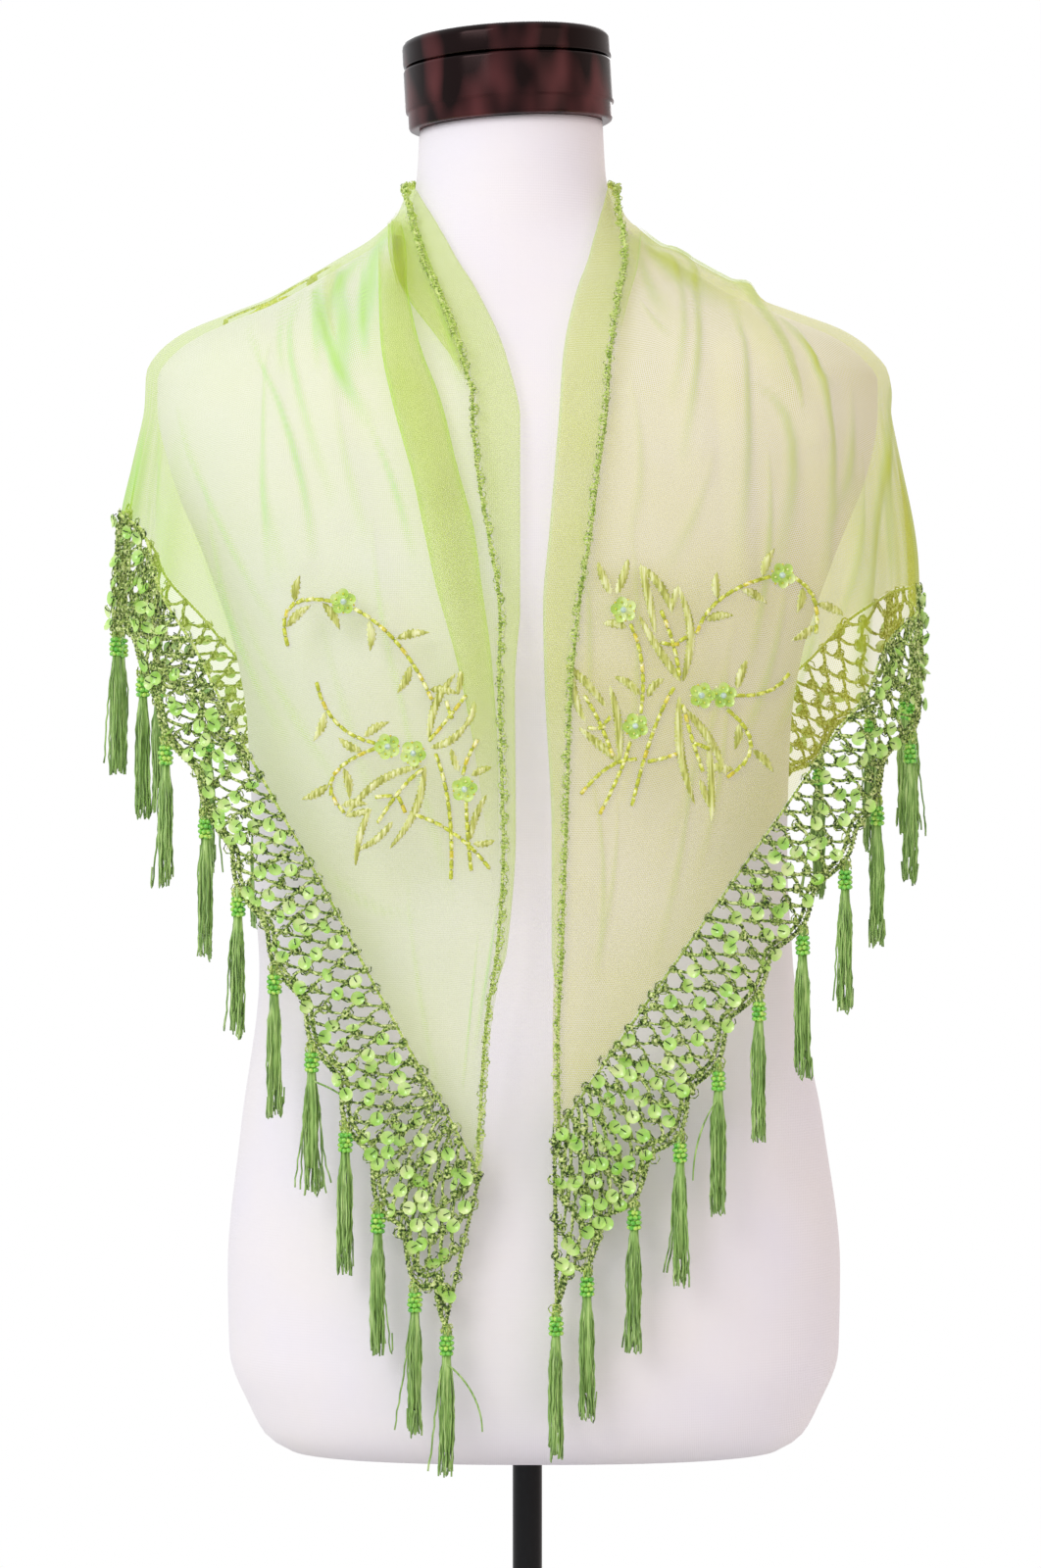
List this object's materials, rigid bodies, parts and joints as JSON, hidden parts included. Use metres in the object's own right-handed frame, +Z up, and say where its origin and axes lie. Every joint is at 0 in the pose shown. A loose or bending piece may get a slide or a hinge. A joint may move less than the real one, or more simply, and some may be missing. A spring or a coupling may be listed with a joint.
{
  "type": "beaded triangle shawl on a limbless dress form",
  "caption": "Sheer triangle shawl with crocheted sequin border, beaded flowers and tassels, draped on a limbless dress form on a stand.",
  "frame": {"origin": "centre of the base plate's underside, on the surface that the stand rests on", "axes": "+Z up, the front of the form faces -Y, +X is the viewer's right"},
  "size_m": [0.4972, 0.32, 1.0859],
  "materials": {
    "net": "sheer lime net",
    "lace": "variegated crochet with sequins",
    "trim": "crocheted picot",
    "tassel": "silky thread with seed beads",
    "jersey": "fine knit jersey over a firm form",
    "lacquer": "dark gloss lacquer",
    "pole": "gloss black"
  },
  "bodies": {
    "root": {"form_torso": "jersey", "neck_cap": "lacquer", "neck_lid": "lacquer", "pole": "pole", "base_plate": "pole", "base_collar": "pole", "net_front_left": "net", "net_front_right": "net", "net_back": "net", "lapel_left": "net", "lapel_right": "net", "trim_left": "trim", "trim_right": "trim", "trim_back": "trim", "lace_left_front": "lace", "lace_left_side": "lace", "lace_left_back": "lace", "lace_right_front": "lace", "lace_right_side": "lace", "lace_right_back": "lace", "tassel_01": "tassel", "tassel_02": "tassel", "tassel_03": "tassel", "tassel_04": "tassel", "tassel_05": "tassel", "tassel_06": "tassel", "tassel_07": "tassel", "tassel_08": "tassel", "tassel_09": "tassel", "tassel_10": "tassel", "tassel_11": "tassel", "tassel_12": "tassel", "tassel_13": "tassel", "tassel_14": "tassel", "tassel_15": "tassel", "tassel_16": "tassel", "tassel_17": "tassel", "tassel_18": "tassel", "tassel_19": "tassel", "tassel_20": "tassel", "tassel_21": "tassel", "tassel_22": "tassel", "tassel_23": "tassel", "tassel_24": "tassel", "tassel_25": "tassel", "tassel_26": "tassel", "tassel_27": "tassel", "tassel_28": "tassel", "tassel_29": "tassel", "tassel_30": "tassel", "tassel_31": "tassel", "tassel_32": "tassel", "tassel_33": "tassel", "tassel_34": "tassel", "tassel_35": "tassel", "tassel_36": "tassel", "tassel_37": "tassel"}
  },
  "joints": []
}
